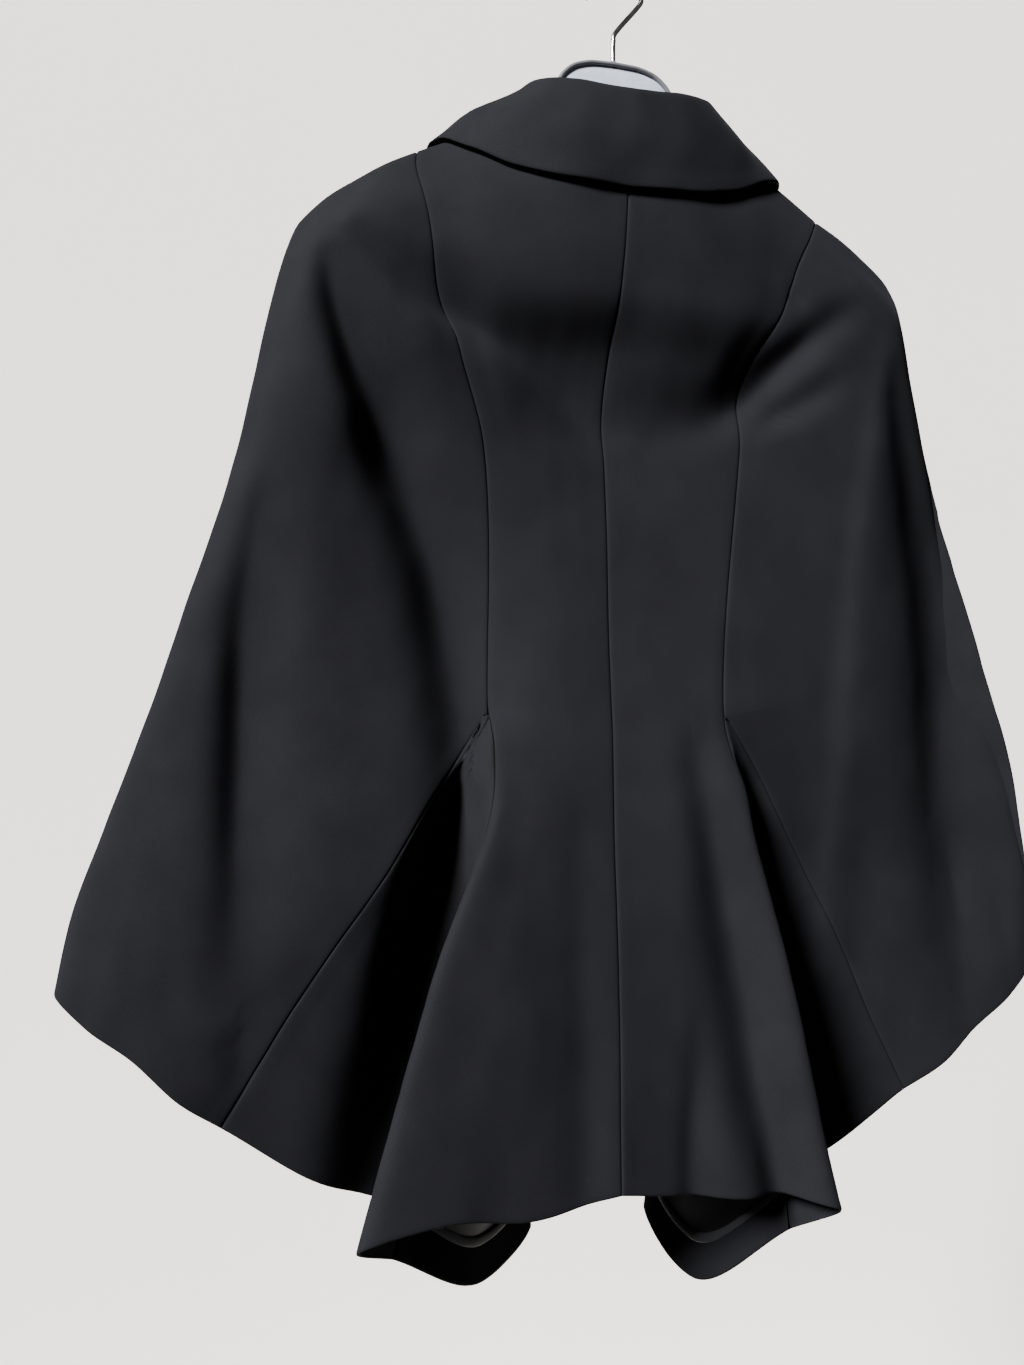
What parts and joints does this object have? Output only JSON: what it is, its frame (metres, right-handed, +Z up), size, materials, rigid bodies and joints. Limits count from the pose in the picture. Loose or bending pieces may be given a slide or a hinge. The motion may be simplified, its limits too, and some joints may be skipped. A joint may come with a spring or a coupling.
{
  "type": "cape coat on a clothes hanger",
  "caption": "Fitted cape coat with a turned-down collar, wide cape wings and a fluted peplum hem, hanging on a plain hanger with a wire hook.",
  "frame": {"origin": "inside top of the hanger's hook, where a rail carries it", "axes": "+Z up, -Y the coat's back, +X the right-hand side of a viewer who looks at the back"},
  "size_m": [0.6462, 0.1915, 0.884],
  "materials": {
    "wool": "matte",
    "lining": "satin",
    "hanger_plastic": "gloss",
    "hook_wire": "satin"
  },
  "bodies": {
    "root": {"back_left": "wool", "back_right": "wool", "gusset_left": "wool", "gusset_right": "wool", "wing_back_left": "wool", "wing_back_right": "wool", "wing_front_left": "wool", "wing_front_right": "wool", "front_left": "wool", "front_right": "wool", "collar": "wool", "facing_left": "wool", "facing_right": "wool", "lining_left": "lining", "lining_right": "lining", "hanger_body": "hanger_plastic", "hanger_hook": "hook_wire"}
  },
  "joints": []
}
